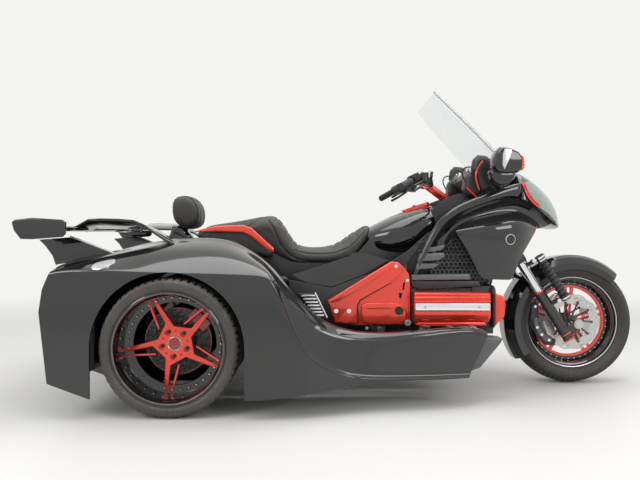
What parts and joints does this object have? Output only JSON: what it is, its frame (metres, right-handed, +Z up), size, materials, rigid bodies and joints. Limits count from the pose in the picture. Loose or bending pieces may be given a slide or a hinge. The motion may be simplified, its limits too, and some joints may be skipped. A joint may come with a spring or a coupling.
{
  "type": "touring trike",
  "caption": "Touring trike with one steered front wheel, wide rear wheels under moulded fenders, low side pods, fairing, screen, seat, backrest and tail wing.",
  "frame": {"origin": "on the floor under the middle of the whole vehicle", "axes": "+X forward along the vehicle, +Y to the rider's left, +Z up"},
  "size_m": [2.9446, 1.46, 1.524],
  "materials": {
    "aluminium": "satin",
    "cast": "satin",
    "chrome": "polished",
    "gloss_black": "gloss",
    "lamp": "clear",
    "leather": "satin",
    "red_paint": "gloss",
    "rubber": "matte",
    "satin_black": "satin",
    "screen": "clear",
    "steel": "satin",
    "tyre": "matte"
  },
  "bodies": {
    "chassis": {"backrest": "leather", "backrest_post": "satin_black", "dash": "satin_black", "engine": "cast", "engine_guards": "satin_black", "exhausts": "satin_black", "fairing": "gloss_black", "fender_left": "gloss_black", "fender_right": "gloss_black", "footpegs": "satin_black", "frame": "aluminium", "frame_covers": "red_paint", "frame_cradle": "satin_black", "gearcase_covers": "red_paint", "head_covers": "red_paint", "head_strips": "chrome", "headlamps": "lamp", "knee_panels": "satin_black", "louvres": "gloss_black", "mirrors": "gloss_black", "pod_left": "gloss_black", "pod_right": "gloss_black", "radiator_shrouds": "red_paint", "radiators": "cast", "rear_axle": "cast", "rear_calipers": "red_paint", "rear_deck": "gloss_black", "scoops": "gloss_black", "seat": "leather", "seat_cowl": "satin_black", "seat_trims": "red_paint", "side_panels": "gloss_black", "tail_lamps": "lamp", "tank_cover": "gloss_black", "windscreen": "screen", "wing": "gloss_black", "wing_struts": "gloss_black"},
    "steering": {"fork_sliders": "gloss_black", "fork_tubes": "chrome", "yokes": "satin_black", "front_axle": "steel", "assist_springs": "satin_black", "front_fender": "gloss_black", "handlebar": "satin_black", "risers": "red_paint", "grips": "rubber", "bar_controls": "satin_black", "front_calipers": "satin_black"},
    "front_wheel": {"front_tyre": "tyre", "front_rim": "gloss_black", "front_discs": "steel"},
    "rear_wheel_left": {"rear_disc_left": "steel", "rear_rim_left": "gloss_black", "rear_spokes_left": "red_paint", "rear_tyre_left": "tyre"},
    "rear_wheel_right": {"rear_disc_right": "steel", "rear_rim_right": "gloss_black", "rear_spokes_right": "red_paint", "rear_tyre_right": "tyre"},
    "door": {"rear_door": "gloss_black"}
  },
  "joints": [
    {"name": "steer", "type": "hinge", "parent": "chassis", "child": "steering", "pos_m": [0.82331, 0, 0.6186], "axis": [-0.5402, 0, 0.8415], "range_deg": [-36, 36]},
    {"name": "front_spin", "type": "hinge", "parent": "steering", "child": "front_wheel", "pos_m": [1.148, 0, 0.322], "axis": [0, 1, 0], "continuous": true},
    {"name": "rear_spin_left", "type": "hinge", "parent": "chassis", "child": "rear_wheel_left", "pos_m": [-0.818, 0.572, 0.298], "axis": [0, 1, 0], "continuous": true},
    {"name": "rear_spin_right", "type": "hinge", "parent": "chassis", "child": "rear_wheel_right", "pos_m": [-0.818, -0.572, 0.298], "axis": [0, 1, 0], "continuous": true},
    {"name": "door_hinge", "type": "hinge", "parent": "chassis", "child": "door", "pos_m": [-1.34059, 0.2265, 0.4725], "axis": [0, 0, -1], "range_deg": [0, 85]}
  ]
}
